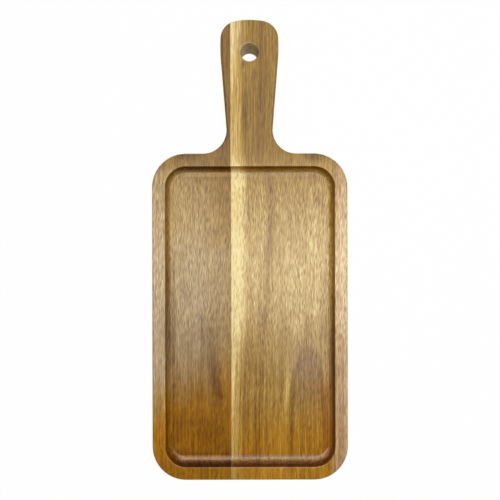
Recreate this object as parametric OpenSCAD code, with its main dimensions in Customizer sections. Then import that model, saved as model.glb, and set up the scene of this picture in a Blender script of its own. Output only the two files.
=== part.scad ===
// Paddle serving board: two planks glued edge to edge, with a sunk well and a hanging hole.
// The underside lies on z = 0, the handle points along +Y, and the origin is under the middle.

/* [Blade] */
// Width of the blade
blade_w = 161.6; // [150:0.2:190]
// Length of the blade, without the handle
blade_l = 269.6; // [220:0.2:320]
// Thickness of the planks
board_t = 18; // [15:0.5:24]
// Radius of the blade's four corners, seen from above
corner_r = 28; // [20:1:34]
// Radius that rounds over the outer edges, top and bottom
edge_ease = 2; // [1:0.5:3]

/* [Well] */
// Width of the rim left standing round the well
rim_w = 11; // [8:0.5:14]
// Depth of the well's floor below the rim
well_depth = 9; // [6:0.5:11]
// Radius of the cove where the well's wall meets its floor
cove_r = 4.5; // [3:0.5:5]
// Radius that rounds over the rim's inner edge
rim_ease = 0.7; // [0.4:0.1:1]

/* [Handle] */
// Length of the handle, from the shoulders to its end
handle_l = 110.4; // [95:0.2:140]
// Width of the handle at its widest place
handle_w = 48.2; // [46:0.2:54]
// How far the widest place lies from the handle's end
swell_back = 22; // [18:1:28]
// Radius of the swelling side at the widest place
swell_r = 136; // [110:2:180]
// Width of the handle at its neck
neck_w = 38.2; // [34:0.2:42]
// Radius of the hollow between the neck and the shoulder
neck_r = 19.5; // [15:0.5:24]
// Radius of the arched end
end_r = 70; // [60:1:90]
// Radius of the two corners of the end
end_corner_r = 15; // [12:0.5:18]

/* [Hanging hole] */
// Diameter of the hole
hole_d = 15; // [12:0.2:18]
// How far the hole's centre lies from the handle's end
hole_back = 27.2; // [22:0.2:34]
// Ease cut round the hole's two mouths
hole_ease = 0.7; // [0.4:0.1:1.2]

/* [Staves] */
// How far left of the middle the two staves meet
joint_off = 15.8; // [12:0.1:16.5]
// Thickness of the glue film between the staves
glue_t = 0.15; // [0.1:0.05:0.3]

/* [Hidden] */
$fn = 96;

// Steps of the flat strips that follow each round
bend_step = 7.5; // degrees of plan outline in one strip
least_strips = 4;
ease_strips = 3;
cove_strips = 5;
quarter = 90;

// How far every cutter runs past what it cuts
overrun = 1;

board_l = blade_l + handle_l;
foot_y = -board_l / 2;
shoulder_y = foot_y + blade_l;
tip_y = board_l / 2;
floor_z = board_t - well_depth;
joint_x = -joint_off;

// Centres of the bends on the right side, from the foot to the tip
foot_bend = [blade_w / 2 - corner_r, foot_y + corner_r];
shoulder_bend = [blade_w / 2 - corner_r, shoulder_y - corner_r];
neck_bend = [neck_w / 2 + neck_r, shoulder_y + neck_r];
swell_bend = [handle_w / 2 - swell_r, tip_y - swell_back];
end_bend = [0, tip_y - end_r];
end_corner_bend = inner_meeting(end_bend, end_r - end_corner_r, swell_bend, swell_r - end_corner_r);

// Outward direction of the straight flank that touches the swelling side and the neck's hollow
flank_turn = acos((swell_r + neck_r) / norm(neck_bend - swell_bend)) + heading(swell_bend, neck_bend);

// Each bend: its centre, its radius, less than zero for a hollow, and the outward directions it runs between
paddle_bends = [
    [foot_bend, corner_r, -quarter, 0],
    [shoulder_bend, corner_r, 0, quarter],
    [neck_bend, -neck_r, quarter, flank_turn],
    [swell_bend, swell_r, flank_turn, heading(swell_bend, end_corner_bend)],
    [end_corner_bend, end_corner_r, heading(swell_bend, end_corner_bend), heading(end_bend, end_corner_bend)],
    [end_bend, end_r, heading(end_bend, end_corner_bend), quarter],
];
well_bends = [
    [foot_bend, corner_r - rim_w, -quarter, 0],
    [shoulder_bend, corner_r - rim_w, 0, quarter],
];

// Points well inside each outline, from which every edge of it can be seen
paddle_hub = [0, shoulder_y - rim_w];
well_hub = [0, (foot_y + shoulder_y) / 2];

// Each level: how far it lies inside the outline, and its height
paddle_levels = concat(
    [for (a = strip_angles(ease_strips)) [edge_ease * (1 - sin(a)), edge_ease * (1 - cos(a))]],
    [for (a = strip_angles(ease_strips)) [edge_ease * (1 - cos(a)), board_t - edge_ease * (1 - sin(a))]]
);
well_levels = concat(
    [for (a = strip_angles(cove_strips)) [cove_r * (1 - sin(a)), floor_z + cove_r * (1 - cos(a))]],
    [for (a = strip_angles(ease_strips)) [-rim_ease * (1 - cos(a)), board_t - rim_ease * (1 - sin(a))]],
    [[-rim_ease, board_t + overrun]]
);

// Direction from one point to another
function heading(from, to) = atan2(to.y - from.y, to.x - from.x);

// Point at two given distances from two centres, on the right of the way from the second to the first
function inner_meeting(c1, d1, c2, d2) =
    let (
        apart = norm(c1 - c2),
        along = (d2 * d2 - d1 * d1 + apart * apart) / (2 * apart),
        aside = sqrt(d2 * d2 - along * along),
        way = (c1 - c2) / apart
    )
    c2 + along * way + aside * [-way.y, way.x];

// Angles from 0 to a quarter turn in equal strips
function strip_angles(strips) = [for (i = [0 : strips]) quarter * i / strips];

// Points along one bend, moved inwards from the outline
function bend_points(bend, inset) =
    let (
        turn = bend[3] - bend[2],
        strips = max(least_strips, ceil(abs(turn) / bend_step))
    )
    [for (i = [0 : strips])
        let (a = bend[2] + turn * i / strips)
        bend[0] + (bend[1] - inset) * [cos(a), sin(a)]];

// Closed outline, run round counterclockwise: the right side, then its mirror image without points on the axis
function outline(bends, inset) =
    let (right = [for (bend = bends) each bend_points(bend, inset)])
    concat(right, [for (i = [len(right) - 1 : -1 : 0]) if (right[i].x > 0) [-right[i].x, right[i].y]]);

// Solid whose outline is drawn in or let out level by level, closed by fans round its hub
module levelled_slab(bends, levels, hub) {
    rings = [for (level = levels) outline(bends, level[0])];
    count = len(rings[0]);
    top = len(levels) - 1;
    hub_low = count * len(levels);
    hub_high = hub_low + 1;
    points = concat(
        [for (k = [0 : top]) for (p = rings[k]) [p.x, p.y, levels[k][1]]],
        [[hub.x, hub.y, levels[0][1]], [hub.x, hub.y, levels[top][1]]]
    );
    sides = [for (k = [0 : top - 1]) for (i = [0 : count - 1])
        let (next = (i + 1) % count)
        [k * count + i, (k + 1) * count + i, (k + 1) * count + next, k * count + next]];
    underneath = [for (i = [0 : count - 1]) [hub_low, i, (i + 1) % count]];
    above = [for (i = [0 : count - 1]) [hub_high, top * count + (i + 1) % count, top * count + i]];
    polyhedron(points, concat(sides, underneath, above));
}

// Through hole with both mouths eased
module hanging_hole() {
    translate([0, tip_y - hole_back, 0]) {
        translate([0, 0, -overrun])
            cylinder(d = hole_d, h = board_t + 2 * overrun);
        translate([0, 0, -overrun])
            cylinder(r1 = hole_d / 2 + hole_ease + overrun, r2 = hole_d / 2, h = hole_ease + overrun);
        translate([0, 0, board_t - hole_ease])
            cylinder(r1 = hole_d / 2, r2 = hole_d / 2 + hole_ease + overrun, h = hole_ease + overrun);
    }
}

// The whole shaped board, before it is told apart into its staves and the glue
module shaped_board() {
    difference() {
        levelled_slab(paddle_bends, paddle_levels, paddle_hub);
        levelled_slab(well_bends, well_levels, well_hub);
        hanging_hole();
    }
}

// The part of the shaped board that lies between two places across its width
module lengthwise_slice(from_x, to_x) {
    intersection() {
        shaped_board();
        translate([from_x, foot_y - overrun, -overrun])
            cube([to_x - from_x, board_l + 2 * overrun, board_t + 2 * overrun]);
    }
}

// Narrower plank, of darker heartwood
module left_stave() {
    color([0.55, 0.42, 0.26])
        lengthwise_slice(-blade_w / 2 - overrun, joint_x - glue_t / 2);
}

// Wider plank, which holds the hanging hole
module right_stave() {
    color([0.72, 0.57, 0.36])
        lengthwise_slice(joint_x + glue_t / 2, blade_w / 2 + overrun);
}

// Film of glue, as tall and as long as the joint that it fills
module glue_line() {
    color([0.36, 0.25, 0.13])
        lengthwise_slice(joint_x - glue_t / 2, joint_x + glue_t / 2);
}

left_stave();
right_stave();
glue_line();
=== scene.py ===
# %% [markdown]
# # A wooden serving paddle
#
# The board on this page is one flat slab, glued up from two planks. A wide, shallow well is cut into
# its blade, and a flared handle with a hanging hole grows out of one end. Everything that the eye
# enjoys about it is in two places: the soft roundings that a router bit leaves along every edge, and
# the figure of the wood. So the lesson has two halves, first the shape and then the finish.
#
# The first cell loads the finished solids of the board. They fix its size and its place, and the two
# planks and the film of glue that are built below take the places of those solids.

import math
from types import SimpleNamespace

import bmesh
import bpy
from mathutils import Matrix, Vector


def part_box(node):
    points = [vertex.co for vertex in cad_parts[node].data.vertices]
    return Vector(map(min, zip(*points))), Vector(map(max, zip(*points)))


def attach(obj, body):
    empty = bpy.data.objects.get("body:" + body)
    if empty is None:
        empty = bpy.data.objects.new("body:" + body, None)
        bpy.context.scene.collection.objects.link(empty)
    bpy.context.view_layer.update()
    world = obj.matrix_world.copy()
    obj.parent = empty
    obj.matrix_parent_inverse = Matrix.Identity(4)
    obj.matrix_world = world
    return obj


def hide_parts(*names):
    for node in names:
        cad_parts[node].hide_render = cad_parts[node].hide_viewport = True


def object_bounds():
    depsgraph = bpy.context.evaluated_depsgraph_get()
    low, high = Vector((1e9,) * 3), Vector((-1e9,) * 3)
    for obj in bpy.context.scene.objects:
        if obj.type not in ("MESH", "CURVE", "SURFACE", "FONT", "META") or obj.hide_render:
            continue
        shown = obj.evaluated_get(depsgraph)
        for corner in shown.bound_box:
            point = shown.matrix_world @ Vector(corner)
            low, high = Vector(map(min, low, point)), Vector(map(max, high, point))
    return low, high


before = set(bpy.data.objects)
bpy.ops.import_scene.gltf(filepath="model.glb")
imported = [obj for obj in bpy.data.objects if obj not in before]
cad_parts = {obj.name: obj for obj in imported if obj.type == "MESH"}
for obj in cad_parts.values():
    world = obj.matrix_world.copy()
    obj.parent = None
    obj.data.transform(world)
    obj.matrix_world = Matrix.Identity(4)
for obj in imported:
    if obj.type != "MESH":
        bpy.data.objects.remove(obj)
solid_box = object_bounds()
box_in_mm = [tuple(round(c * 1000, 2) for c in p) for p in solid_box]
print("solids:", sorted(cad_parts), "box in mm:", box_in_mm)

# %% [markdown]
# ## Sizes
#
# Blender works in metres, but a board maker thinks in millimetres, so one small function turns one
# into the other. Lengths that the solids already show are measured on them. Radii can't be read off a
# box, so they are written down here, each with a name.

# %% The sizes of the board
def mm(length):
    return length / 1000


low, high = solid_box
board_t = high.z - low.z
foot_y, tip_y = low.y, high.y
half_blade = high.x

shoulder_y = foot_y + mm(269.6)
corner_r = mm(28)
edge_ease = mm(2)
rim_w = mm(11)
well_depth = mm(9)
cove_r = mm(4.5)
rim_ease = mm(0.7)

half_handle = mm(48.2) / 2
swell_back = mm(22)
swell_r = mm(136)
half_neck = mm(38.2) / 2
neck_r = mm(19.5)
end_r = mm(70)
end_corner_r = mm(15)

hole_r = mm(15) / 2
hole_y = tip_y - mm(27.2)
hole_ease = mm(0.7)

print("board", round(board_t * 1000, 2), "mm thick, shoulders at y =", round(shoulder_y * 1000, 2), "mm")

# %% [markdown]
# ## The outline as a row of bends
#
# Seen from above, the right side of the paddle is a chain of round bends joined by straight runs: the
# corner at the foot, the corner at the shoulder, the hollow of the neck, the swelling flank of the
# handle, the corner of its end and the flat arch of the tip. It could be drawn as a curve object, but
# then the bends would have to be fitted by eye. Written as centres, radii and directions, they meet
# without a kink, because the centres are worked out so that each bend touches the next.

# %% Where the bends are
def heading(start, end):
    return math.degrees(math.atan2(end.y - start.y, end.x - start.x))


foot_bend = Vector((half_blade - corner_r, foot_y + corner_r, 0))
shoulder_bend = Vector((half_blade - corner_r, shoulder_y - corner_r, 0))
neck_bend = Vector((half_neck + neck_r, shoulder_y + neck_r, 0))
swell_bend = Vector((half_handle - swell_r, tip_y - swell_back, 0))
end_bend = Vector((0, tip_y - end_r, 0))

# The end corner touches both the arch and the flank from inside, so its centre lies at a known
# distance from each of their centres.
to_arch, to_flank = end_r - end_corner_r, swell_r - end_corner_r
apart = end_bend - swell_bend
along = (to_flank**2 - to_arch**2 + apart.length_squared) / (2 * apart.length)
aside = math.sqrt(to_flank**2 - along**2)
sideways = Vector((-apart.y, apart.x, 0)).normalized()
end_corner_bend = swell_bend + apart.normalized() * along + sideways * aside

reach = (neck_bend - swell_bend).length
flank_turn = math.degrees(math.acos((swell_r + neck_r) / reach)) + heading(swell_bend, neck_bend)
flank_end = heading(swell_bend, end_corner_bend)
arch_start = heading(end_bend, end_corner_bend)

# Each bend: its centre, its radius (less than zero for a hollow) and the directions it runs between.
paddle_bends = [
    (foot_bend, corner_r, -90, 0),
    (shoulder_bend, corner_r, 0, 90),
    (neck_bend, -neck_r, 90, flank_turn),
    (swell_bend, swell_r, flank_turn, flank_end),
    (end_corner_bend, end_corner_r, flank_end, arch_start),
    (end_bend, end_r, arch_start, 90),
]
print("the flank starts at", round(flank_turn, 2), "degrees and ends at", round(flank_end, 2))

# %% [markdown]
# ## Walking the outline
#
# `bmesh.ops.spin` is the lathe of the mesh tools. Given a single vertex it leaves an arc of short
# edges behind it, which is just what a bend needs. The walk goes round the right side only, and a
# mirror makes the left one, so the two sides can't differ. One face then closes the loop.

# %% A face with a rounded outline
bend_step = math.radians(3)
least_steps = 3

# Two places closer than a hair, a thousandth of a millimetre, count as one.
hair = 1e-6


def direction(degrees):
    turn = math.radians(degrees)
    return Vector((math.cos(turn), math.sin(turn), 0))


def outlined_face(bends, height):
    """A new bmesh that holds one flat face, whose outline runs round the bends and their mirror image."""
    bm = bmesh.new()
    lift = Vector((0, 0, height))
    first_centre, first_radius, first_turn, _ = bends[0]
    start = first_centre + first_radius * direction(first_turn)
    walker = bm.verts.new((0, start.y, height))
    for centre, radius, turn_from, turn_to in bends:
        corner = bm.verts.new(centre + radius * direction(turn_from) + lift)
        bm.edges.new((walker, corner))
        turn = math.radians(turn_to - turn_from)
        steps = max(least_steps, math.ceil(abs(turn) / bend_step))
        spun = bmesh.ops.spin(
            bm, geom=[corner], cent=centre + lift, axis=(0, 0, 1), angle=turn, steps=steps, use_merge=False
        )
        walker = spun["geom_last"][0]
    if abs(walker.co.x) > hair:
        bm.edges.new((walker, bm.verts.new((0, walker.co.y, height))))
    bmesh.ops.mirror(bm, geom=bm.verts[:] + bm.edges[:], matrix=Matrix.Identity(4), merge_dist=hair, axis="X")
    bmesh.ops.remove_doubles(bm, verts=bm.verts[:], dist=hair)
    bmesh.ops.contextual_create(bm, geom=bm.edges[:])
    return bm


# %% [markdown]
# ## The slab
#
# On the real board the planks are planed flat, sawn to the outline and then rounded over with a
# router, top and bottom. The mesh follows the same order: extrude the outline to the thickness, then
# bevel the two rings of edges. A bevel with a profile of 0.5 is a true quarter round. The big flat
# faces come off again for now, because the well and the hole still have to open them.

# %% Round edges over and raise faces
def at_height(edge, height):
    return all(abs(v.co.z - height) < hair for v in edge.verts)


def round_over(bm, edges, radius, segments):
    how = {"segments": segments, "profile": 0.5, "affect": "EDGES", "material": -1}
    bmesh.ops.bevel(bm, geom=edges, offset=radius, **how)
    bm.normal_update()


def raise_faces(bm, faces, height):
    """Extrudes faces straight up, or down if the height is less than zero, and returns what was raised."""
    made = bmesh.ops.extrude_face_region(bm, geom=faces)["geom"]
    raised = [g for g in made if isinstance(g, bmesh.types.BMVert)]
    bmesh.ops.translate(bm, verts=raised, vec=(0, 0, height))
    bm.normal_update()
    return [g for g in made if isinstance(g, bmesh.types.BMFace)]


# %% Extrude the outline and round it over
slab = outlined_face(paddle_bends, 0)
raise_faces(slab, slab.faces[:], board_t)
outer_edges = [e for e in slab.edges if at_height(e, 0) or at_height(e, board_t)]
round_over(slab, outer_edges, edge_ease, segments=8)
big_faces = [f for f in slab.faces if len(f.verts) > 4]
bmesh.ops.delete(slab, geom=big_faces, context="FACES_ONLY")
print("slab:", len(slab.faces), "faces round its edge,", len(big_faces), "flat faces taken off")

# %% [markdown]
# ## The well
#
# The well is routed too, with a bowl bit: its wall runs down into a cove instead of a sharp corner,
# and its upper edge is broken with fine paper. A boolean could cut it out of the slab, but a boolean
# leaves stray slivers where round meets round. Instead the well is a pan of its own. It starts as a
# face that is a little larger than the opening, an inset makes a narrow flange round it, the middle
# is pushed down to the floor, and two bevels make the cove and the eased rim.

# %% A pan with a cove and an eased rim
flange = mm(2)
well_r = corner_r - rim_w
well_bends = [
    (foot_bend, well_r + flange, -90, 0),
    (shoulder_bend, well_r + flange, 0, 90),
]


def sunk_opening(bm, depth):
    """Insets the largest face by the flange, pushes the middle down and returns its face."""
    widest = max(bm.faces, key=lambda f: f.calc_area())
    bmesh.ops.inset_region(bm, faces=[widest], thickness=flange, use_even_offset=True, use_boundary=True)
    bm.normal_update()
    middle = max(bm.faces, key=lambda f: f.calc_area())
    floor = raise_faces(bm, [middle], -depth)[0]
    bmesh.ops.delete(bm, geom=[middle], context="FACES_ONLY")
    return floor


def meets_wall(edge):
    return any(abs(f.normal.z) < 0.1 for f in edge.link_faces)


pan = outlined_face(well_bends, board_t)
sunk_opening(pan, well_depth)
cove_edges = [e for e in pan.edges if at_height(e, board_t - well_depth)]
round_over(pan, cove_edges, cove_r, segments=12)
lip_edges = [e for e in pan.edges if at_height(e, board_t) and meets_wall(e)]
round_over(pan, lip_edges, rim_ease, segments=5)
print("well:", len(pan.faces), "faces,", round(2 * (half_blade - rim_w) * 1000, 1), "mm wide")

# %% [markdown]
# ## The hanging hole
#
# A drilled hole is the same idea with a round face: inset, push down, ease the mouth. This one goes
# right through, so the face at its bottom is taken off, and the ring of edges that is left is drawn
# outwards into a second flange. Then the lower mouth can be eased exactly as the upper one is.

# %% Drill the hole and ease both mouths
hole_steps = 96


def lies_level(edge):
    return abs(edge.verts[0].co.z - edge.verts[1].co.z) < hair


drill = bmesh.new()
centre = Vector((0, hole_y, board_t))
bmesh.ops.create_circle(
    drill, cap_ends=True, segments=hole_steps, radius=hole_r + flange, matrix=Matrix.Translation(centre)
)
plug = sunk_opening(drill, board_t)
lower_ring = list(plug.edges)
bmesh.ops.delete(drill, geom=[plug], context="FACES_ONLY")
drawn = bmesh.ops.extrude_edge_only(drill, edges=lower_ring)["geom"]
wider = (hole_r + flange) / hole_r
bmesh.ops.scale(
    drill,
    verts=[g for g in drawn if isinstance(g, bmesh.types.BMVert)],
    vec=(wider, wider, 1),
    space=Matrix.Translation((0, -hole_y, 0)),
)
bmesh.ops.recalc_face_normals(drill, faces=drill.faces[:])
mouths = [e for e in drill.edges if not e.is_boundary and meets_wall(e) and lies_level(e)]
round_over(drill, mouths, hole_ease, segments=5)
print("hole:", len(drill.faces), "faces, radius", round(hole_r * 1000, 2), "mm")

# %% [markdown]
# ## One closed skin
#
# Slab, pan and drill hole now have open rims that lie in the same two planes. Gathered into one
# bmesh, the rims of each plane are filled in one go: `triangle_fill` sees which loops lie inside
# which and leaves the openings open. It compares lengths with a fixed small one, and a board in metres
# is all small lengths, so the mesh is blown up to millimetres for the fill and brought back after it.
# A closed skin has two faces on each edge, and the cell counts the edges that don't.

# %% Gather the parts and fill the flat faces
blow_up = 1000
whole = bmesh.new()
for part in (slab, pan, drill):
    holder = bpy.data.meshes.new("holder")
    part.to_mesh(holder)
    whole.from_mesh(holder)
    bpy.data.meshes.remove(holder)
    part.free()

rims = [[e for e in whole.edges if e.is_boundary and at_height(e, height)] for height in (0, board_t)]
bmesh.ops.scale(whole, verts=whole.verts[:], vec=[blow_up] * 3)
for rim in rims:
    bmesh.ops.triangle_fill(whole, use_beauty=True, use_dissolve=False, edges=rim)
bmesh.ops.scale(whole, verts=whole.verts[:], vec=[1 / blow_up] * 3)
bmesh.ops.recalc_face_normals(whole, faces=whole.faces[:])
print("whole board:", len(whole.faces), "faces, open edges:", sum(not e.is_manifold for e in whole.edges))

# %% [markdown]
# ## Two planks and a film of glue
#
# The board was glued up before it was shaped, so its joint runs straight through blade, well, rim and
# handle. The mesh is told apart at the same place: two bisecting planes for each piece, and the cut
# face closed again. Face normals on round edges are smoothed, and a Weighted Normal modifier keeps
# the large flat faces flat right up to where a rounding starts.

# %% Slices and finished pieces
crease = math.radians(50)
on_the_plane = 1e-8


def slice_of(skin, from_x, to_x):
    """A closed copy of what lies between two places across the board. None leaves that side as it is."""
    bm = skin.copy()
    for place, side in ((from_x, -1), (to_x, 1)):
        if place is None:
            continue
        everything = bm.verts[:] + bm.edges[:] + bm.faces[:]
        cut = {"plane_co": (place, 0, 0), "plane_no": (side, 0, 0), "clear_outer": True}
        bmesh.ops.bisect_plane(bm, geom=everything, dist=on_the_plane, **cut)
        bmesh.ops.edgeloop_fill(bm, edges=[e for e in bm.edges if e.is_boundary])
    bmesh.ops.recalc_face_normals(bm, faces=bm.faces[:])
    return bm


def make_piece(name, bm, node):
    """A finished object for one solid, at the origin, with smooth rounds and crisp edges at the joint."""
    mesh = bpy.data.meshes.new(name)
    bm.to_mesh(mesh)
    mesh.shade_smooth()
    mesh.set_sharp_from_angle(angle=crease)
    piece = bpy.data.objects.new(name, mesh)
    bpy.context.scene.collection.objects.link(piece)
    flat = piece.modifiers.new("flat_faces_stay_flat", "WEIGHTED_NORMAL")
    flat.mode = "FACE_AREA"
    flat.keep_sharp = True
    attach(piece, "root")
    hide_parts(node)
    open_edges = sum(not e.is_manifold for e in bm.edges)
    millilitres = round(bm.calc_volume() * 1e6, 2)
    print(name, "has", len(mesh.polygons), "faces,", open_edges, "open edges and", millilitres, "ml")
    bm.free()
    return piece


# %% Slice the skin at the joint
glue_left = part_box("glue_line")[0].x
glue_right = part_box("glue_line")[1].x
left_plank = make_piece("left_plank", slice_of(whole, None, glue_left), "left_stave")
right_plank = make_piece("right_plank", slice_of(whole, glue_right, None), "right_stave")
glue_film = make_piece("glue_film", slice_of(whole, glue_left, glue_right), "glue_line")
whole.free()

# %% [markdown]
# ## Shader sums in Python
#
# A wood finish takes dozens of Math nodes, and wiring them by hand hides the idea. The class below
# wraps one output socket, so that `1 - mask * 0.5` adds the nodes that it says. Every other node goes
# through one method, which sets the node's settings first and its sockets after them. Two kinds of
# node hold a list instead of a value, the colour ramp and the curve, so the first cell fills those.

# %% Fill a ramp or a curve
def fill_ramp(ramp, stops):
    """Puts (position, colour) stops on a colour ramp, which starts out with two."""
    ramp.elements[0].position, ramp.elements[0].color = stops[0]
    ramp.elements[1].position, ramp.elements[1].color = stops[-1]
    for position, colour in stops[1:-1]:
        ramp.elements.new(position).color = colour


def fill_curve(mapping, points):
    """Puts (place, value) points on a curve, which starts out with two. It never swings past a point."""
    curve = mapping.curves[0]
    curve.points[0].location = points[0]
    curve.points[-1].location = points[-1]
    for place, value in points[1:-1]:
        curve.points.new(place, value)
    for point in curve.points:
        point.handle_type = "AUTO_CLAMPED"
    mapping.update()


# %% A wire that can be added and multiplied
class Wire:
    """One output socket of a node tree, with Python's operators standing for Math nodes."""

    def __init__(self, tree, socket=None):
        self.tree = tree
        self.socket = socket

    def node(self, kind, settings=None, sockets=None, out=0):
        made = self.tree.nodes.new(kind)
        for name, value in (settings or {}).items():
            if name == "stops":
                fill_ramp(made.color_ramp, value)
            elif name == "points":
                fill_curve(made.mapping, value)
            else:
                setattr(made, name, value)
        for key, value in (sockets or {}).items():
            if isinstance(value, Wire):
                self.tree.links.new(value.socket, made.inputs[key])
            else:
                made.inputs[key].default_value = value
        return Wire(self.tree, made.outputs[out])

    def output(self, name):
        """Another output of the same node."""
        return Wire(self.tree, self.socket.node.outputs[name])

    def math(self, operation, *values):
        return self.node("ShaderNodeMath", {"operation": operation}, dict(enumerate(values)))

    def __add__(self, other):
        return self.math("ADD", self, other)

    def __radd__(self, other):
        return self.math("ADD", other, self)

    def __sub__(self, other):
        return self.math("SUBTRACT", self, other)

    def __rsub__(self, other):
        return self.math("SUBTRACT", other, self)

    def __mul__(self, other):
        return self.math("MULTIPLY", self, other)

    def __rmul__(self, other):
        return self.math("MULTIPLY", other, self)

    def __truediv__(self, other):
        return self.math("DIVIDE", self, other)

    def __pow__(self, other):
        return self.math("POWER", self, other)

    def __abs__(self):
        return self.math("ABSOLUTE", self)


# %% [markdown]
# ## Opening and closing a finish
#
# Colours are picked as they look on a screen, from 0 to 255, while a shader wants linear light, so
# `paint` turns one into the other. A finish starts with an empty node tree and ends with its output
# node, and a piece wears it as its one material.

# %% Colours, and a finish opened and closed
def paint(red, green, blue):
    """A screen colour, from 0 to 255, as the linear light that a shader wants."""

    def linear(level):
        share = level / 255
        return share / 12.92 if share <= 0.04045 else ((share + 0.055) / 1.055) ** 2.4

    return (linear(red), linear(green), linear(blue), 1.0)


def empty_finish(name):
    material = bpy.data.materials.new(name)
    material.use_nodes = True
    material.node_tree.nodes.clear()
    return material, Wire(material.node_tree)


def put_on(piece, material, surface):
    """Ends a finish with its output node and gives it to a piece."""
    output = material.node_tree.nodes.new("ShaderNodeOutputMaterial")
    material.node_tree.links.new(surface.socket, output.inputs["Surface"])
    piece.data.materials.append(material)
    print(piece.name, "wears", material.name, "with", len(material.node_tree.nodes), "nodes")


def mix_colours(factor, first, second, blend="MIX"):
    """Two colours mixed in a Mix node. The factor is a wire."""
    sockets = {0: factor, 6: first, 7: second}
    return factor.node("ShaderNodeMix", {"data_type": "RGBA", "blend_type": blend}, sockets, out=2)


# %% [markdown]
# ## Grain has a direction
#
# Wood is made of long tubes that run along the plank. Every pattern in it is stretched that way, so
# the finish is worked out in three distances in millimetres: across the plank, along it and up
# through it. Because the patterns fill space, they carry on round an edge by themselves, and a long
# streak on the face turns up as a small dot on the sawn end, as it does on a real board.

# %% Distances in the plank, and noise stretched along it
def plank_axes(start):
    here = start.node("ShaderNodeTexCoord", out="Object")
    place = start.node("ShaderNodeVectorMath", {"operation": "SCALE"}, {0: here, "Scale": 1000.0})
    across = start.node("ShaderNodeSeparateXYZ", {}, {0: place}, out="X")
    return across, across.output("Y"), across.output("Z")


def cloud(across, along, up, lengths, detail, roughness, seed):
    """Noise about zero, mostly from -0.5 to 0.5, whose lumps have these three lengths in millimetres."""
    lumps = {"X": across / lengths[0] + seed, "Y": along / lengths[1] + seed, "Z": up / lengths[2]}
    place = across.node("ShaderNodeCombineXYZ", {}, lumps)
    sockets = {"Vector": place, "Scale": 1.0, "Detail": detail, "Roughness": roughness}
    return 2 * (across.node("ShaderNodeTexNoise", {"noise_dimensions": "3D"}, sockets) - 0.5)


def fade(value, start, end):
    """1 up to the start, 0 from the end on, and a soft slope between them."""
    sockets = {"Value": value, "From Min": start, "From Max": end, "To Min": 1.0, "To Max": 0.0}
    return value.node("ShaderNodeMapRange", {"interpolation_type": "SMOOTHSTEP"}, sockets)


# %% [markdown]
# ## Drawing figure by hand
#
# ## Drawing the figure
# the dark line that wanders down the middle, has to be able to say where it goes. A few helpers do
# that: a curve that gives a value for each place along the board, a streak that follows such a curve,
# and a spot. Streaks and spots come in lists, so two more helpers add a whole list up, each with its
# own strength. The places are millimetres from the middle of the board, and a strength of 1 would take
# the darkest wood all the way to the palest.

# %% Values that change along the board
foot_end, tip_end = foot_y * 1000, tip_y * 1000


def along_board(along, places, lowest=0.0, highest=1.0):
    """Follows (place along the board in mm, value) pairs, given from the foot to the tip."""
    length, span = tip_end - foot_end, highest - lowest
    points = [((y - foot_end) / length, (value - lowest) / span) for y, value in places]
    sockets = {"Factor": 1.0, "Value": (along - foot_end) / length}
    return along.node("ShaderNodeFloatCurve", {"points": points}, sockets) * span + lowest


def between(value, start, end, soft):
    """1 between two places and 0 outside them, with soft ends."""
    return fade(value, end, end + soft) * (1 - fade(value, start - soft, start))


print("places along the board run from", round(foot_end), "to", round(tip_end), "mm")

# %% [markdown]
# A streak and a spot are each a distance turned into a mask: how far a place lies from a line or from
# a point. A picture painted by hand could do the same, but only at the size it was painted in, while
# distances in millimetres stay sharp however near they are seen.

# %% Streaks and spots
furthest_out = 90.0


def straight(x):
    """The path of a streak that doesn't wander."""
    return [(foot_end, x), (tip_end, x)]


def streak(across, along, path, width, start, end, soft):
    """A soft line that wanders along the plank between two places: 1 on its path and 0 this far from it."""
    away = abs(across - along_board(along, path, -furthest_out, furthest_out))
    return fade(away, 0.0, width) * between(along, start, end, soft)


def spot(across, along, x, y, width, length):
    """A soft round or long patch about one place."""
    return fade((((across - x) / width) ** 2 + ((along - y) / length) ** 2) ** 0.5, 0.2, 1.0)


def all_streaks(across, along, streaks):
    """Streaks added up. Each has its path, width, start, end, softness and strength."""
    return sum(streak(across, along, *shape) * strength for *shape, strength in streaks)


def all_spots(across, along, spots):
    """Spots added up. Each has its place across and along, its width, length and strength."""
    return sum(spot(across, along, *shape) * strength for *shape, strength in spots)


# %% [markdown]
# ## What every plank has
#
# This board is a dense, oiled hardwood. Close up it shows four things: fine fibres, broader bands of
# growth, pores that look like short pen strokes along the grain and like dots on the end, and a
# ripple of slanted dashes where the fibres interlock, liveliest in the middle of the blade. They
# change the tone, the height and the gloss together, as they do in wood. Each helper below stretches
# its pattern along the grain. Three lengths in brackets are those across, along and up, in millimetres.

# %% Fibres and dashes
lively_places = [
    (-190, 0.5), (-130, 0.5), (-95, 0.62), (-70, 0.8), (-45, 1.0), (40, 1.0), (70, 0.6),
    (90, 0.38), (190, 0.38),
]


def strokes(across, along, up, width, length, start, end):
    """Short pen strokes along the grain, one in each cell of this size: 1 on a stroke and 0 off it."""
    sides = {"X": across / width, "Y": along / length, "Z": up / width}
    cells = across.node("ShaderNodeCombineXYZ", {}, sides)
    settings = {"voronoi_dimensions": "3D", "feature": "F1"}
    sockets = {"Vector": cells, "Scale": 1.0, "Randomness": 1.0}
    return fade(across.node("ShaderNodeTexVoronoi", settings, sockets), start, end)


def fibres(grain, along, up, seed):
    """Short fibres on the blade, longer ones on the handle, and threads that show most at the foot."""
    calm = 1 - fade(along, 62, 85)
    short = cloud(grain, along, up, (0.4, 11, 0.4), 2.0, 0.7, seed + 1) * (1 - calm * 0.4)
    longer = cloud(grain, along, up, (0.65, 38, 0.65), 2.0, 0.7, seed + 6) * (0.3 + calm * 1.0)
    thread = cloud(grain, along, up, (1.4, 80, 1.4), 2.0, 0.6, seed + 8)
    return short + longer + thread * (0.3 + fade(along, -110, -50) * 0.6)


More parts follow.
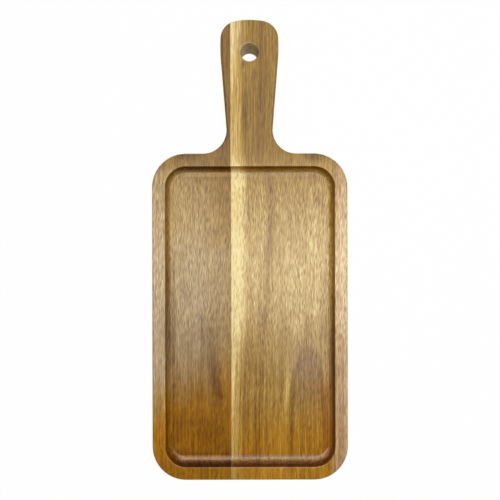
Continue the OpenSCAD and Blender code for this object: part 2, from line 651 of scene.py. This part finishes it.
def dashes(grain, along, up, seed):
    """Short dashes, a little slanted, that come and go in patches."""
    slanted = grain - along * 0.05
    patches = cloud(grain, along, up, (16, 30, 16), 1.0, 0.5, seed + 5) * 0.4 + 1.0
    dash = strokes(slanted, along, up, width=0.5, length=7.2, start=0.1, end=0.5) - 0.3
    dash = dash - cloud(slanted, along, up, (0.33, 5.5, 0.33), 0.0, 0.5, seed + 4) * 0.9
    return dash * along_board(along, lively_places) * patches


# %% [markdown]
# The growth rings are the one pattern that noise alone can't make. A log's rings are tubes round its
# heart, so here they follow the distance from a line that runs along the board and below it. They stay
# faint on the faces and come out where the wood is cut across its end.

# %% The texture of a plank
ring_spacing = 3.1
heart_across, heart_below = 20, 60


def wood_texture(grain, along, up, seed):
    """The fine texture of any plank: fibre, band, dash, pore and ring, each about zero or from 0 to 1."""
    fibre = fibres(grain, along, up, seed)
    band = cloud(grain, along, up, (4.0, 140, 4.0), 2.0, 0.6, seed + 2)
    dash = dashes(grain, along, up, seed)
    pore = strokes(grain, along, up, width=0.75, length=6.0, start=0.05, end=0.24)
    from_heart = ((grain - heart_across + seed * 9) ** 2 + (up + heart_below) ** 2) ** 0.5
    rings = from_heart / ring_spacing + band
    ring = rings.math("FRACT", rings) - 0.5
    return fibre, band, dash, pore, ring


# %% [markdown]
# ## Landmarks
#
# The finish also has to know where on the board it is: oil gathers on the floor of the well, a
# highlight is painted into its cove, and the handle has a colour of its own. The landmarks are worked
# out from the sizes, in millimetres like everything in the finish.

# %% Landmarks
rim_up = board_t * 1000
floor_up = (board_t - well_depth) * 1000
near_side, far_side = (foot_y + rim_w) * 1000, (shoulder_y - rim_w) * 1000
well = [round(place, 1) for place in (near_side, far_side, floor_up, rim_up)]
print("the two ends, the floor and the rim of the well in mm:", well)

# %% [markdown]
# ## What the shape does to the wood
#
# Four numbers say what the wood looks like at a place. Tone is 0 for the darkest wood and 1 for the
# palest. Amber says how much oil has soaked in, ash how far light and wear have bleached the colour,
# and rosy how far it leans towards red. The shape has a say in all four. Where an end wall of the well
# or a round edge cuts the fibres open, the oil soaks deeper and the wood turns darker. Light and shade
# are painted in too. Faces that look left or right, the top of the right wall and the walls at both
# ends of the well carry painted shade, darker, warmer and redder, and a little painted shade lies in
# the cove. A pale band low on the wall at the foot is a painted reflection. The eased top edges are
# painted pale, partly for sanded wear and partly as a painted highlight. Only the surface's own
# direction is read, never the camera's, so the marks stay where they are from every side.

# %% Marks on walls and edges
# Painted shade on faces that look left or right, such as the side walls of the well, along the board.
left_facing_shade = [(-190, 0.17), (-60, 0.17), (-20, 0.06), (190, 0.06)]
right_facing_shade = [(-190, 0.06), (-125, 0.06), (-95, 0.13), (-40, 0.13), (10, 0.07), (190, 0.07)]


def edge_marks(across, along, up, facing_right, facing_tip):
    """What walls and edges add to tone, amber, ash and rosy, painted shade and highlights among them."""
    to_left, to_right = fade(facing_right, -1, -0.1), 1 - fade(facing_right, 0.1, 1)
    # A band low in the cove, which gets a little painted shade except where it faces the tip.
    cove = between(up, floor_up + 0.7, floor_up + 3.5, 2.0) * (1 - fade(up, floor_up, floor_up + 0.7))
    # The eased top edges are painted pale, most of all on the lip at the foot: partly sanded wear, partly a
    # painted highlight.
    edge_wear_and_highlight = fade(abs(up - (rim_up - 0.4)), 0.1, 0.4) * (1 - fade(facing_tip, 0.2, 0.7) * 0.7)
    # Painted shade on the lip of the right wall of the well, which faces left.
    painted_lip_shade = to_left * (1 - fade(up, rim_up - 0.8, rim_up - 0.5)) * (1 - fade(across, 0, 10))
    # Painted shade on the wall at the foot of the well and on the wall at its far end, darker and redder.
    painted_near_wall_shade = (1 - fade(facing_tip, 0.55, 0.95)) * fade(along, near_side + 14, near_side + 19)
    painted_far_wall_shade = fade(facing_tip, -0.95, -0.55) * between(along, far_side - 8.6, far_side + 3.4, 1.0)
    # A painted reflection: a pale, greyer band low on the wall at the foot.
    painted_cove_reflection = painted_near_wall_shade * between(up, floor_up + 1.8, floor_up + 4.2, 1.0)

    tone = painted_cove_reflection * 0.05 - abs(facing_tip) ** 4 * 0.16 - cove * fade(facing_tip, 0.1, 0.5) * 0.02
    tone = tone + edge_wear_and_highlight * (1 - to_left) * 0.2 - painted_lip_shade * 0.35 - painted_near_wall_shade * 0.15
    # Painted shade darkens the faces that look left and those that look right.
    tone = tone - to_left**2 * along_board(along, left_facing_shade)
    tone = tone - to_right**2 * along_board(along, right_facing_shade)
    # The painted shade makes the walls warmer and richer in colour, and the end walls redder.
    amber = to_left**2 * 0.12 + painted_far_wall_shade * 0.3
    ash = edge_wear_and_highlight * (1 - to_left) * 0.7 - to_left * 0.35 - to_right * 0.3 + painted_cove_reflection * 0.5
    rosy = painted_near_wall_shade * 0.8 + painted_far_wall_shade * 0.5
    return tone, amber, ash, rosy


def in_bore(across, along):
    """1 on the wall of the hanging hole, 0 away from it."""
    out = (across**2 + (along - hole_y * 1000) ** 2) ** 0.5
    return fade(out, hole_r * 1000 + 0.05, hole_r * 1000 + 0.5)


# %% [markdown]
# ## From tone to wood
#
# One ramp turns the tone into the browns of this wood. Amber multiplies it by the colour of the oil,
# ash takes colour out, and rosy turns the hue. The same texture that changes the tone also feeds a
# Bump node and the roughness, so that a pore is dark, deep and dull at once. The bore is cut across
# the fibres and never polished, so it is dull and looks drier, and its side that faces the foot is
# painted paler, as painted light.

# %% The browns of the wood
browns = [
    (0.0, paint(58, 24, 2)),
    (0.2, paint(102, 67, 18)),
    (0.4, paint(136, 101, 36)),
    (0.6, paint(170, 132, 58)),
    (0.8, paint(200, 168, 95)),
    (1.0, paint(238, 218, 150)),
]
oil = paint(255, 226, 90)
print("the palest wood in linear light:", [round(level, 3) for level in browns[-1][1]])


def wood_colour(start, tone, amber, ash, rosy):
    """The wood's colour from its four numbers."""
    colour = start.node("ShaderNodeValToRGB", {"stops": browns}, {"Fac": tone})
    colour = mix_colours(amber, colour, oil, "MULTIPLY")
    tint = {"Hue": 0.5 - rosy * 0.013, "Saturation": 1 - ash * 0.25, "Color": colour}
    return start.node("ShaderNodeHueSaturation", {}, tint)


# %% [markdown]
# Both planks share the next function. It bends the grain a little, so that no fibre is quite straight,
# asks the plank's figure for its four numbers, adds what shape and texture do to them, and hands the
# result to the ramp and a Principled shader.

# %% The finish of a plank
def wood_finish(name, figure, life, seed):
    """A finish from a plank's figure, a function that gives its four numbers, and its liveliness."""
    material, start = empty_finish(name)
    across, along, up = plank_axes(start)
    wander = cloud(across, along, up, (60, 150, 40), 1.0, 0.5, seed) * 2.5
    wander = wander + cloud(across, along, up, (14, 46, 14), 1.0, 0.5, seed + 3) * 0.9
    grain = across + wander
    normal = start.node("ShaderNodeNewGeometry", out="Normal")
    facing_tip = start.node("ShaderNodeSeparateXYZ", {}, {0: normal}, out="Y")
    end, bored = abs(facing_tip), in_bore(across, along)

    marks = edge_marks(across, along, up, facing_tip.output("X"), facing_tip)
    tone, amber, ash, rosy = (drawn + mark for drawn, mark in zip(figure(grain, along, up), marks))
    fibre, band, dash, pore, ring = wood_texture(grain, along, up, seed)
    # Painted shade: the lower the wood lies, the darker, so the well's floor is darker than the rim.
    tone = tone + (up - floor_up) * 0.012 + fibre * (life * 0.9) + band * 0.1 - dash * life
    tone = tone - pore * 0.06 - ring * (0.03 + end * 0.12)
    # The bore is paler, and its side that faces the foot is painted paler still, as painted light.
    tone = tone + bored * (0.1 + fade(facing_tip, -0.5, 0.2) * 0.5)
    colour = wood_colour(start, tone, amber, ash + bored * 1.6, rosy)

    height = fibre * 0.3 - dash * 0.15 - pore * 0.4
    relief = start.node("ShaderNodeBump", {}, {"Strength": 1.0, "Distance": mm(0.1), "Height": height})
    roughness = 0.33 + pore * 0.15 + end * 0.1 - fibre * 0.08 + bored * 0.5
    look = {"Base Color": colour, "Roughness": roughness, "Specular IOR Level": 0.35, "Normal": relief}
    return material, start.node("ShaderNodeBsdfPrincipled", {}, look)


# %% [markdown]
# ## Places by name
#
# Both planks share some places: the well above its floor, the handle and the two coves. Each is a
# mask with a name, so that a figure can say where it means.

# %% Masks that both planks use
def above_floor(up):
    """1 in the well and over it, 0 in the wood below the well's floor."""
    return 1 - fade(up, floor_up - 1.0, floor_up - 0.1)


def below_rim(up):
    """1 up to just under the rim, 0 on top of it."""
    return fade(up, rim_up - 1.5, rim_up - 0.2)


def on_handle(along):
    """0 on the blade, 1 on the handle."""
    return 1 - fade(along, 70, 85)


def painted_near_cove_highlight(along, up, width):
    """A painted highlight in the cove at the foot, in a band this wide."""
    start = near_side + 2.2
    low = fade(up, floor_up + 1.5, floor_up + 3.0) * above_floor(up)
    return between(along, start, start + width, 0.8) * low


def painted_far_cove_highlight(grain, along, up, width, left, right):
    """A painted highlight: the pale foot of the far cove, in a band this wide, between two places across the
    board.
    """
    start = far_side - 6.3
    low = fade(up, floor_up + 0.8, floor_up + 1.6) * above_floor(up)
    return between(along, start, start + width, 0.8) * between(grain, left, right, 5) * low


# %% [markdown]
# ## The left plank
#
# The narrower plank is all heartwood. It is an ashy tan at the top of the blade and a deep amber at
# the foot, and the amber climbs highest beside the joint. Along their border runs a brown streak
# that ends in two dark smudges. The lists give it place by place: first how the tone runs along the
# board and darkens beside the joint, then the streaks and the spots with their strengths.

# %% Places in the heartwood
heart_tone = [
    (-190, 0.34), (-178, 0.36), (-163, 0.4), (-145, 0.4), (-124, 0.45), (-83, 0.49), (-62, 0.52), (-41, 0.56),
    (0, 0.59), (41, 0.56), (60, 0.5), (74, 0.31), (107, 0.26), (130, 0.28), (150, 0.33), (190, 0.33),
]
heart_ash = [
    (-190, 1.0), (-95, 1.0), (-62, 1.0), (-21, 0.85), (0, 0.75), (21, 0.45), (58, 0.4), (74, 0.2), (190, 0.0),
]
beside_joint = [
    (-190, 0.0), (-145, 0.0), (-113, 0.02), (-62, 0.03), (-21, 0.05), (0, 0.08), (41, 0.12), (62, 0.09),
    (74, 0.0), (190, 0.0),
]
amber_border = [(-190, -22), (-130, -26), (-115, -29), (-95, -33.5), (-66, -37), (190, -40)]
heart_streaks = [
    (amber_border, 8.0, -118, -70, 15, -0.12),
    (straight(-62), 1.6, -160, -100, 12, -0.07),
]
heart_spots = [
    (-40, -117, 14, 16, -0.05),
    (-41, -98, 6, 12, -0.06),
    (-32, 48, 6, 16, -0.06),
    (-52, 79, 15, 9, -0.16),
    (-77, 50, 3, 8, -0.08),
    (-26.5, -117, 2.2, 9, -0.05),
    (-24.5, -124, 2.5, 4, -0.05),
    # The next two spots are painted shade and a painted highlight in the cove at the lower left corner of the
    # well.
    (-61, -171, 5, 3.5, -0.13),
    (-61.5, -164.5, 4, 3.5, 0.06),
    (-74, -165, 1.2, 1.8, -0.15),
]
print("the left plank has", len(heart_streaks), "streaks and", len(heart_spots), "spots")

# %% [markdown]
# The figure adds those lists up and sets them against the shape, in three functions: where things
# are, how the tone runs, and how oil and light have stained it.

# %% Where things are on the left plank
# Where the joint lies across the board, in millimetres.
joint_at = -15


def by_joint(grain, start, end):
    """1 beside the joint, 0 from this far away."""
    return fade(abs(grain - joint_at), start, end)


def heart_places(grain, along, up):
    """Masks for the rim, the soaked end of the well, the painted highlight in its cove and the upper end of
    the joint.
    """
    return SimpleNamespace(
        rim=fade(grain, -72, -67),
        soaked=fade(along, -158, -132) * fade(up, floor_up + 0.1, floor_up + 0.8) * above_floor(up),
        cove_highlight=painted_near_cove_highlight(along, up, width=2.6) * (1 - fade(grain, -64, -56)),
        joint=by_joint(grain, 4.0, 24.0) * between(along, 10, 70, 15),
    )


# %% The tone of the left plank
def heart_tones(grain, along, up, at):
    """How pale the left plank is, from its lists and the masks."""
    tone = along_board(along, heart_tone) - (grain + 54) * 0.002
    tone = tone + all_streaks(grain, along, heart_streaks) + all_spots(grain, along, heart_spots)
    tone = tone - by_joint(grain, 4.0, 22.0) * along_board(along, beside_joint)
    tone = tone + by_joint(grain, 3.0, 12.0) * between(along, -160, -85, 15) * 0.06
    mottle = cloud(grain, along, up, (10, 24, 10), 2.0, 0.6, 9.0) * fade(along, -135, -110)
    tone = tone + mottle * 0.16 - at.rim * between(along, -70, 60, 20) * 0.06 - at.soaked * 0.025

    # Painted shade: bands along the left wall and the far wall of the well, and one low in the cove at the
    # foot, are darkened.
    painted_wall_shade = fade(abs(grain + 67), 1.5, 4.5) * below_rim(up)
    wall_up = (1 - fade(up, floor_up + 0.5, floor_up + 1.5)) * fade(up, rim_up - 0.8, rim_up - 0.2)
    painted_far_wall_shade = fade(abs(along - (far_side - 1.1)), 2.0, 3.5) * between(grain, -56, 0, 6) * wall_up
    tone = tone - painted_wall_shade * (0.1 + between(along, -90, -10, 20) * 0.08) - painted_far_wall_shade * 0.1
    shaded = between(along, near_side + 5.0, near_side + 7.2, 0.7) * fade(up, floor_up + 1.5, floor_up + 3.0)
    # Painted highlights: a pale band in the cove at the foot, and the pale foot of the far cove.
    tone = tone + at.cove_highlight * 0.15 - shaded * above_floor(up) * 0.05
    return tone + painted_far_cove_highlight(grain, along, up, width=2.7, left=-52, right=-10) * 0.18


# %% Heartwood
def left_figure(grain, along, up):
    """Tone, amber, ash and rosy of the left plank."""
    at = heart_places(grain, along, up)
    tone = heart_tones(grain, along, up, at)
    lean = (1 - fade(grain, -38, -28)) * 14 + fade(abs(grain + 45), 0.0, 12.0) * 8 - at.rim * 14
    amber = fade(along - lean, -140, -88)
    ash = along_board(along, heart_ash) * (1 - amber) * (1 - fade(grain, -66, -58) * 0.5)
    ash = ash * (0.1 + fade(grain, -72, -22) * 1.1 + between(grain, -48, -24, 6) * 0.35)
    # The painted highlight in the cove at the foot is greyer.
    ash = ash * (1 - at.joint) - at.soaked * 0.9 + at.cove_highlight * 1.5
    ash = ash + at.rim * between(along, -100, 60, 20) * 0.5
    amber = amber + on_handle(along) * 0.55 + at.joint * 0.55 + at.soaked * 0.35
    rosy = at.soaked * 0.25 + at.rim * 0.3 - at.joint * 0.4 - on_handle(along) * 0.5
    return tone, amber, ash, rosy


put_on(left_plank, *wood_finish("oiled_heartwood", left_figure, life=0.31, seed=0.0))

# %% [markdown]
# ## The right plank
#
# The wider plank was cut at the edge of the log. Along the joint it keeps a streak of sapwood, cream
# on the blade and golden on the handle, that narrows towards the foot. Next to it the heartwood shows
# a dark wandering line, and low on the right the growth rings draw a cathedral.

# %% How the right plank changes along the board
sap_edge = [
    (-190, -9), (-103, -9), (-83, -8), (-62, -5.6), (-41, -5.6), (-21, -4.9), (0, -4.6), (21, -4.4),
    (41, -4.5), (52, -4), (62, -3), (74, -6), (107, -6.4), (140, -7), (190, -7),
]
sap_tone = [
    (-190, 0.42), (-180, 0.46), (-172, 0.68), (-145, 0.73), (-124, 0.82), (-103, 0.82), (-62, 0.9),
    (-21, 0.96), (0, 0.97), (41, 0.92), (58, 0.93), (66, 0.88), (78, 0.73), (91, 0.7), (124, 0.63),
    (145, 0.71), (157, 0.72), (190, 0.76),
]
wide_tone = [
    (-190, 0.44), (-178, 0.46), (-163, 0.51), (-103, 0.5), (-83, 0.53), (-62, 0.58), (-41, 0.65), (-21, 0.68),
    (0, 0.65), (41, 0.57), (60, 0.51), (74, 0.36), (91, 0.29), (124, 0.27), (157, 0.31), (190, 0.33),
]
wide_ash = [
    (-190, 0.0), (-118, 0.0), (-95, 0.35), (-62, 0.3), (-21, 0.15), (50, 0.1), (70, 0.0), (190, 0.0),
]

# %% Streaks and spots of the right plank
dark_line = [
    (-190, 6), (-157, 6.6), (-107, 8.6), (-74, 10.7), (-41, 13.2), (-12, 14.9), (16, 17.3),
    (50, 18.2), (190, 20),
]
second_line = [(-190, 24), (-82, 28.9), (-58, 30.5), (-16, 34.7), (41, 35.5), (190, 40)]
pale_line = [(-190, 26), (-140, 29), (-115, 33), (-88, 39), (190, 42)]
wide_streaks = [
    (dark_line, 4.6, -172, 50, 15, -0.13),
    (dark_line, 9.0, -60, 40, 20, -0.05),
    (second_line, 2.6, -82, 30, 15, -0.03),
    (pale_line, 5.5, -165, -60, 20, 0.12),
    (straight(-2), 9.0, -145, -95, 20, -0.04),
    (straight(45), 1.6, -165, -130, 12, -0.05),
    (straight(0), 8.0, -60, 75, 15, -0.01),
    (straight(9), 4.5, 80, 190, 20, -0.072),
    ([(-190, -4), (190, -3.6)], 1.6, 75, 145, 20, -0.04),
]
low_right = (58, -127, 14, 26)
wide_spots = [
    (50, 12, 16, 26, 0.03),
    (10, -121, 22, 12, 0.03),
    (*low_right, -0.03),
    (74, -45, 6, 16, -0.05),
    (16, 60, 8, 14, -0.06),
    (52, 61, 8, 9, -0.06),
    (54, 78, 15, 9, -0.19),
    (59, 43, 6, 13, -0.11),
    (16.1, -11, 1.5, 4.0, -0.16),
]
handle_spots = [
    (-5.0, 152.8, 2.4, 3.2, -0.12),
    (-4.4, 147.6, 1.4, 1.8, 0.12),
    (4, 144, 4.5, 9, -0.07),
]
print("the right plank has", len(wide_streaks), "streaks and", len(wide_spots) + len(handle_spots), "spots")

# %% [markdown]
# Sapwood is the living outer ring of a tree, so its border runs along the grain and has a feathered
# edge, where single fibres are still pale. A cathedral is the arch that flat-sawn growth rings draw.
# It is drawn as the soft line of one ring, with a darker core, and the wood inside it leans towards
# red. The line shows best in the arch's legs and fades out towards its top, where the ring lies
# almost flat in the face.

# %% Sapwood
def sapwood(grain, along, up):
    """1 in the sapwood, with a feathered edge towards the heartwood."""
    feather = cloud(grain, along, up, (1.1, 34, 1.1), 3.0, 0.6, 7.0) * 5
    return fade(grain - along_board(along, sap_edge, -20.0, 20.0) + feather, -6.5, 6.5)


# %% The cathedral
def cathedral(across, along, x, top, half_width, drop):
    """How far a place lies inside (below) an arch that is this wide where it has come down this far."""
    out = abs(across - x) / half_width
    slope = out**3 * (4 * drop / half_width)
    return (top - along - out**4 * drop) / (slope + 1)


def cathedral_marks(grain, along):
    """The line of the arch and its dark core, added up as they darken the wood, and the soft shade in it."""
    inside = cathedral(grain, along, x=50.3, top=-80.0, half_width=12.0, drop=15.0)
    line = fade(abs(inside - 4.0), 0.0, 5.5) * between(along, -172, -98, 20)
    core = (1 - fade(inside, 2.0, 7.0)) * fade(along, -128, -108)
    shade = (1 - fade(inside, -6.0, 12.0)) * (1 - fade(along, -150, -95))
    return line * (0.06 + fade(grain, 54, 58) * 0.06) + core * 0.03, shade


# %% Where things are on the right plank
def right_corner(grain, along, up):
    """The corner of the cove at the foot, where the light catches."""
    height = fade(up, floor_up + 2.5, floor_up + 4.5) * (1 - fade(up, floor_up + 0.05, floor_up + 0.4))
    return spot(grain, along, 63, -170, 6, 7) * height


def painted_wall_foot_shade(grain, along, up):
    """Painted shade at the foot of the right wall, low on the blade."""
    return fade(abs(grain - 66), 2.0, 6.0) * fade(along, -125, -95) * below_rim(up)


def wide_places(grain, along, up):
    """Masks for sapwood, rim, arch and the shade in it, and painted shade at the wall and highlights in far
    cove and corner.
    """
    arch, shade = cathedral_marks(grain, along)
    return SimpleNamespace(
        sap=sapwood(grain, along, up),
        rim=1 - fade(grain, 66.0, 72.0),
        wall=painted_wall_foot_shade(grain, along, up),
        arch=arch,
        shade=shade,
        cove=painted_far_cove_highlight(grain, along, up, width=2.3, left=-20, right=50),
        corner=right_corner(grain, along, up),
    )


# %% [markdown]
# Sapwood replaces the tone of the heartwood where it grows, rather than adding to it. What lies on
# both, such as the smudge by the handle's end, is added after that.

# %% The tone of the right plank
def wide_tones(grain, along, up, at):
    """How pale the right plank is, from its lists and the masks."""
    tone = along_board(along, wide_tone) + (grain - 15) * 0.0007 - at.arch - at.shade * 0.11
    tone = tone + all_streaks(grain, along, wide_streaks) + all_spots(grain, along, wide_spots)
    tone = tone + (along_board(along, sap_tone) - tone) * at.sap
    tone = tone + all_spots(grain, along, handle_spots)
    tone = tone + fade(grain, -14.8, -13.2) * fade(along, -110, -80) * 0.1

    # Painted shade darkens the right wall of the well, and its foot low on the blade.
    painted_wall_shade = fade(abs(grain - 64.5), 1.5, 4.0) * below_rim(up) * between(along, -70, -15, 15)
    tone = tone - painted_wall_shade * 0.1 - at.wall * 0.05
    # The right rim is painted paler towards its outer edge, as a painted highlight, and a little darker along
    # the middle of the blade.
    tone = tone + at.rim * (grain - 75) * 0.012 - at.rim * between(along, -90, 50, 20) * 0.05
    # Painted highlights: the pale foot of the far cove, and the corner of the cove at the foot.
    return tone + at.cove * 0.06 + at.corner * 0.3


# %% Sapwood and heartwood in one plank
def right_figure(grain, along, up):
    """Tone, amber, ash and rosy of the right plank."""
    at, handle = wide_places(grain, along, up), on_handle(along)
    tone = wide_tones(grain, along, up, at)

    amber = fade(along, -165, -118) * 0.85 * (1 - at.sap) * (1 - at.rim * 0.6)
    amber = amber + handle * 0.62 * (1 - at.sap * 0.75) + handle * fade(abs(grain - 10), 3, 8) * 0.15
    # The painted shade at the foot of the right wall is warmer and redder.
    amber = amber + at.wall * 0.15 + spot(grain, along, *low_right) * 0.2
    amber = amber + at.sap * fade(abs(along - 35), 10, 25) * 0.15
    ash = along_board(along, wide_ash) * (1 - fade(grain, -5, 45)) + at.shade * 0.5
    ash = ash + at.rim * (0.3 + fade(along, -125, -90) * 0.5) + at.sap * (1 - fade(along, 155, 170)) * 0.5
    # The painted highlights in the coves and at the corner are greyer, and the painted shade at the wall
    # leans red.
    ash = ash + at.cove * 0.35 + at.corner * 1.5 + painted_near_cove_highlight(along, up, width=2.8) * 0.8
    rosy = at.shade * 0.4 + at.rim * 0.9 + at.wall * 0.6 + 0.15 - handle * (1.1 - at.sap * 1.1)
    return tone, amber, ash, rosy


put_on(right_plank, *wood_finish("oiled_sapwood_and_heartwood", right_figure, life=0.36, seed=0.6))

# %% [markdown]
# ## The glue line
#
# Between the planks lies a film of wood glue, thinner than a sheet of card. It dries hard and clear
# brown. On the blade it shows as one fine line that is little darker than the wood, and on the handle
# as a dark one. It needs little: a colour that varies a bit along the joint, and a surface that is
# slightly duller than the oiled wood.

# %% Dried glue
def glue_finish(name):
    """Clear brown on the blade, dark on the handle, with small lumps."""
    material, start = empty_finish(name)
    across, along, up = plank_axes(start)
    lumps = cloud(across, along, up, (1.0, 6.0, 1.0), 2.0, 0.6, 2.0)
    brown = mix_colours(fade(lumps, -0.4, 0.4), paint(176, 142, 88), paint(150, 114, 62))
    brown = mix_colours(1 - fade(along, 60, 90), brown, paint(96, 66, 32))
    relief = start.node("ShaderNodeBump", {}, {"Strength": 1.0, "Distance": mm(0.02), "Height": lumps})
    roughness = 0.5 + lumps * 0.1
    look = {"Base Color": brown, "Roughness": roughness, "Specular IOR Level": 0.3, "Normal": relief}
    return material, start.node("ShaderNodeBsdfPrincipled", {}, look)


put_on(glue_film, *glue_finish("dried_glue"))

# %% [markdown]
# ## Floor and backdrop
#
# The board lies on plain white. A white floor that is lit to pure white would need more light than
# the board can take, so the camera sees mostly a plain glow, and a little of the real, shaded floor,
# so that the board keeps a soft shadow. Light Path nodes switch the glow on for the camera's rays and
# for rays that a shiny surface or glass sends on. The floor lies a twentieth of a millimetre below the
# underside, because two faces in one plane would flicker.

# %% The floor's finish
seen_share = 0.98


def in_view(start):
    """1 for a ray from the camera, and for one that a shiny surface or glass sends on."""
    ray = start.node("ShaderNodeLightPath", out="Is Camera Ray")
    sent_on = ray.math("MAXIMUM", ray.output("Is Glossy Ray"), ray.output("Is Transmission Ray"))
    return ray.math("MAXIMUM", ray, sent_on)


def floor_finish(name):
    """A glow for rays in view, and plain matt white for all the others."""
    material, start = empty_finish(name)
    matt = start.node("ShaderNodeBsdfDiffuse", {}, {"Color": (0.7, 0.7, 0.7, 1)})
    glow = start.node("ShaderNodeEmission", {}, {"Color": (1, 1, 1, 1), "Strength": 1.0})
    shares = {0: in_view(start) * seen_share, 1: matt, 2: glow}
    return material, start.node("ShaderNodeMixShader", {}, shares)


# %% A white floor
floor_half = 4
floor_gap = mm(0.05)
floor_bm = bmesh.new()
bmesh.ops.create_grid(floor_bm, x_segments=1, y_segments=1, size=floor_half)
floor_mesh = bpy.data.meshes.new("floor")
floor_bm.to_mesh(floor_mesh)
floor_bm.free()
floor = bpy.data.objects.new("floor", floor_mesh)
bpy.context.scene.collection.objects.link(floor)
floor.location.z = -floor_gap
put_on(floor, *floor_finish("white_floor"))
print("floor", floor.dimensions[:])

# %% [markdown]
# ## Light
#
# One soft panel hangs above the middle of the blade, a little to the right. Oiled wood is satin, so
# the panel shows in it as a pale haze that leaves the foot and the handle clear, and that is what
# makes the finish look like oil and not like paint. The walls of the well face sideways and get
# little of it, so they stay dark. A larger, dimmer panel further back lights the near cove of the well.

# %% Two panels overhead
def hang_panel(name, place, width, depth, watts):
    """A soft rectangle of light that faces straight down."""
    light = bpy.data.lights.new(name, "AREA")
    light.shape = "RECTANGLE"
    light.size, light.size_y = width, depth
    light.energy = watts
    panel = bpy.data.objects.new(name, light)
    panel.location = place
    bpy.context.scene.collection.objects.link(panel)
    print(name, "is", width, "by", depth, "m and gives", watts, "W")


hang_panel("main_panel", place=(0.14, -0.05, 1.0), width=0.8, depth=0.42, watts=7.45)
hang_panel("back_panel", place=(0.14, 0.8, 1.0), width=0.8, depth=1.2, watts=7.4)

# %% [markdown]
# A dim, even world fills the rest. The camera alone sees it as white: in the satin wood a white world
# would show as one more haze, over the whole board.

# %% A dim world
dim = 0.06
world = bpy.data.worlds.new("studio")
bpy.context.scene.world = world
world.use_nodes = True
world.node_tree.nodes.clear()
start = Wire(world.node_tree)
eye = start.node("ShaderNodeLightPath", out="Is Camera Ray")
level = dim + eye * (1 - dim)
air = start.node("ShaderNodeBackground", {}, {"Color": (1, 1, 1, 1), "Strength": level})
output = world.node_tree.nodes.new("ShaderNodeOutputWorld")
world.node_tree.links.new(air.socket, output.inputs["Surface"])
print("the world has", len(world.node_tree.nodes), "nodes")

# %% [markdown]
# ## Camera
#
# The picture was taken from close above, looking straight down: the walls at both ends of the well
# show, and the lower mouth of the hole is shifted towards the middle of the board. From how far it is
# shifted, the lens sits about 306 mm above the rim. The board lay a touch askew under it, so the
# camera is turned by a small part of a degree.

# %% Look straight down
above_rim = mm(306)
off_middle = Vector((mm(0.15), mm(-0.2), 0))
askew = math.radians(-0.13)

lens = bpy.data.cameras.new("camera")
lens.sensor_width = 36
lens.lens = 26.79
lens.clip_start = 0.01
camera = bpy.data.objects.new("camera", lens)
camera.location = off_middle + Vector((0, 0, board_t + above_rim))
camera.rotation_euler.z = askew
bpy.context.scene.collection.objects.link(camera)
bpy.context.scene.camera = camera
bpy.context.scene.view_settings.view_transform = "Standard"
print("camera", [round(c, 4) for c in camera.location])
